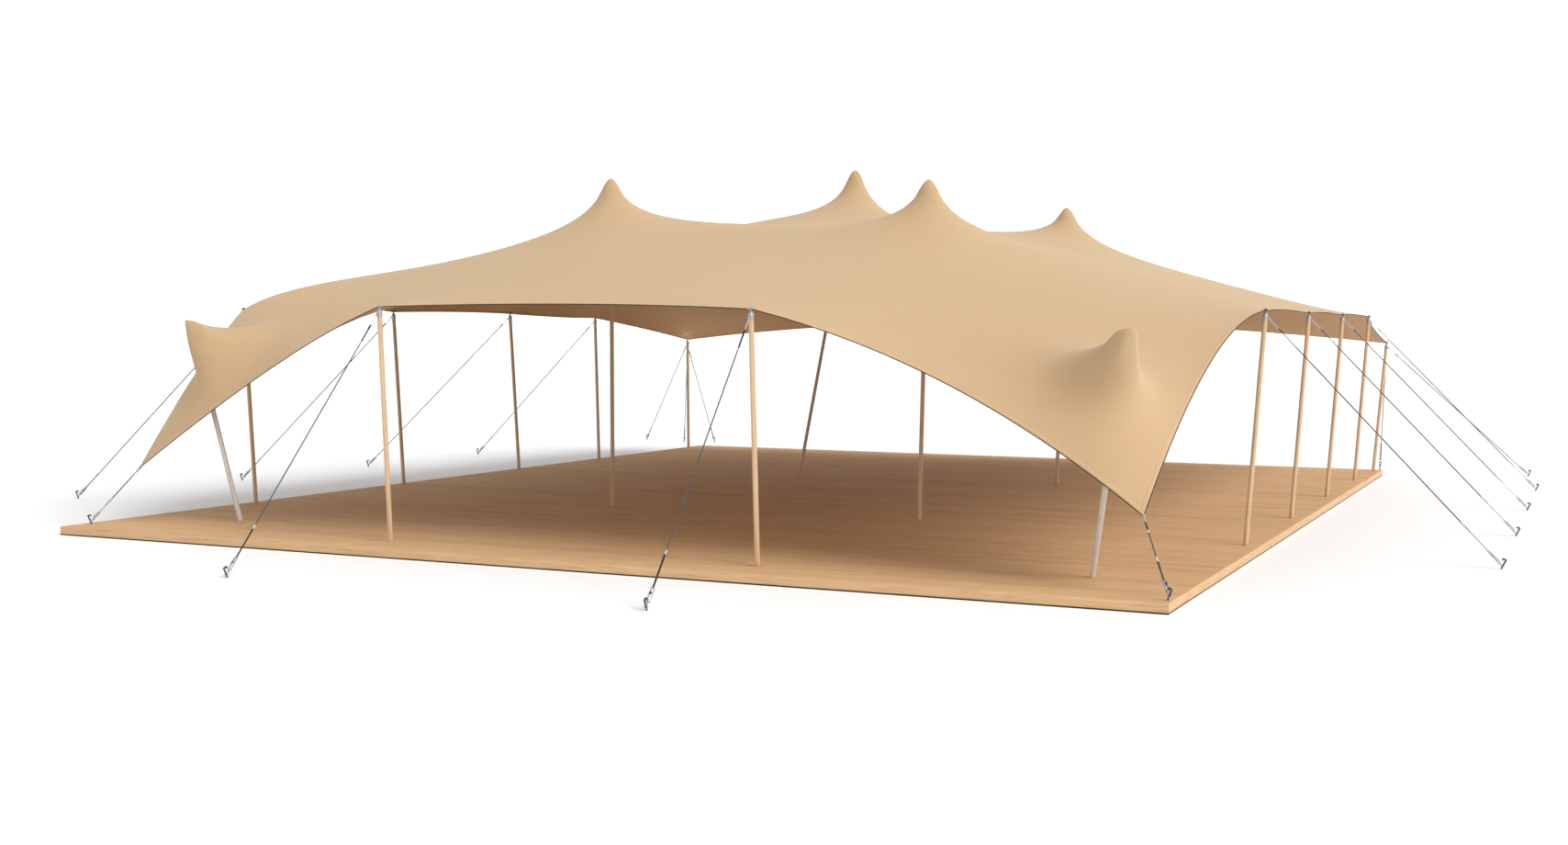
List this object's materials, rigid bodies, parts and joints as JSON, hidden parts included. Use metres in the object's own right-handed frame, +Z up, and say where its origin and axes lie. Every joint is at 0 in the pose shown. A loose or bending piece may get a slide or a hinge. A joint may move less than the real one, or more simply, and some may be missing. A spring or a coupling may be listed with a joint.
{
  "type": "stretch tent",
  "caption": "Free-form stretch tent: a fabric sheet pulled over tall inner poles and lower outer poles, held by guy lines and ground stakes, on a low timber deck",
  "frame": {"origin": "on the ground under the middle of the deck", "axes": "+X to the right as seen from the front, +Y from the low front corners towards the back, +Z up"},
  "size_m": [22.2274, 24.3168, 5.9173],
  "materials": {
    "canopy_fabric": "matt stretch fabric with a fine weave",
    "deck_timber": "oiled boards",
    "pole_timber": "clear satin varnish",
    "pole_steel": "dull galvanised tube",
    "guy_cable": "dark coated cable, webbing strap and ratchet"
  },
  "bodies": {
    "root": {"canopy": "canopy_fabric", "deck_floor": "deck_timber", "deck_edge_front": "deck_timber", "deck_edge_back": "deck_timber", "deck_edge_left": "deck_timber", "deck_edge_right": "deck_timber", "deck_bearer_1": "deck_timber", "deck_bearer_2": "deck_timber", "deck_bearer_3": "deck_timber", "deck_bearer_4": "deck_timber", "deck_bearer_5": "deck_timber", "deck_bearer_6": "deck_timber", "deck_bearer_7": "deck_timber", "deck_bearer_8": "deck_timber", "deck_bearer_9": "deck_timber", "pole_front_1": "pole_timber", "pole_front_2": "pole_timber", "pole_left_1": "pole_timber", "pole_left_2": "pole_timber", "pole_left_3": "pole_timber", "pole_left_4": "pole_timber", "pole_left_5": "pole_timber", "pole_right_1": "pole_timber", "pole_right_2": "pole_timber", "pole_right_3": "pole_timber", "pole_right_4": "pole_timber", "pole_right_5": "pole_timber", "pole_king_1": "pole_timber", "pole_king_2": "pole_timber", "pole_king_3": "pole_timber", "pole_king_4": "pole_timber", "pole_corner_left": "pole_steel", "pole_corner_right": "pole_steel", "guy_front_1": "guy_cable", "guy_front_2": "guy_cable", "guy_left_1": "guy_cable", "guy_left_2": "guy_cable", "guy_left_3": "guy_cable", "guy_left_4": "guy_cable", "guy_right_1": "guy_cable", "guy_right_2": "guy_cable", "guy_right_3": "guy_cable", "guy_right_4": "guy_cable", "guy_left_5_side": "guy_cable", "guy_left_5_middle": "guy_cable", "guy_left_5_back": "guy_cable", "guy_right_5_side": "guy_cable", "guy_right_5_back": "guy_cable", "guy_corner_left": "guy_cable", "guy_corner_right": "guy_cable"}
  },
  "joints": []
}
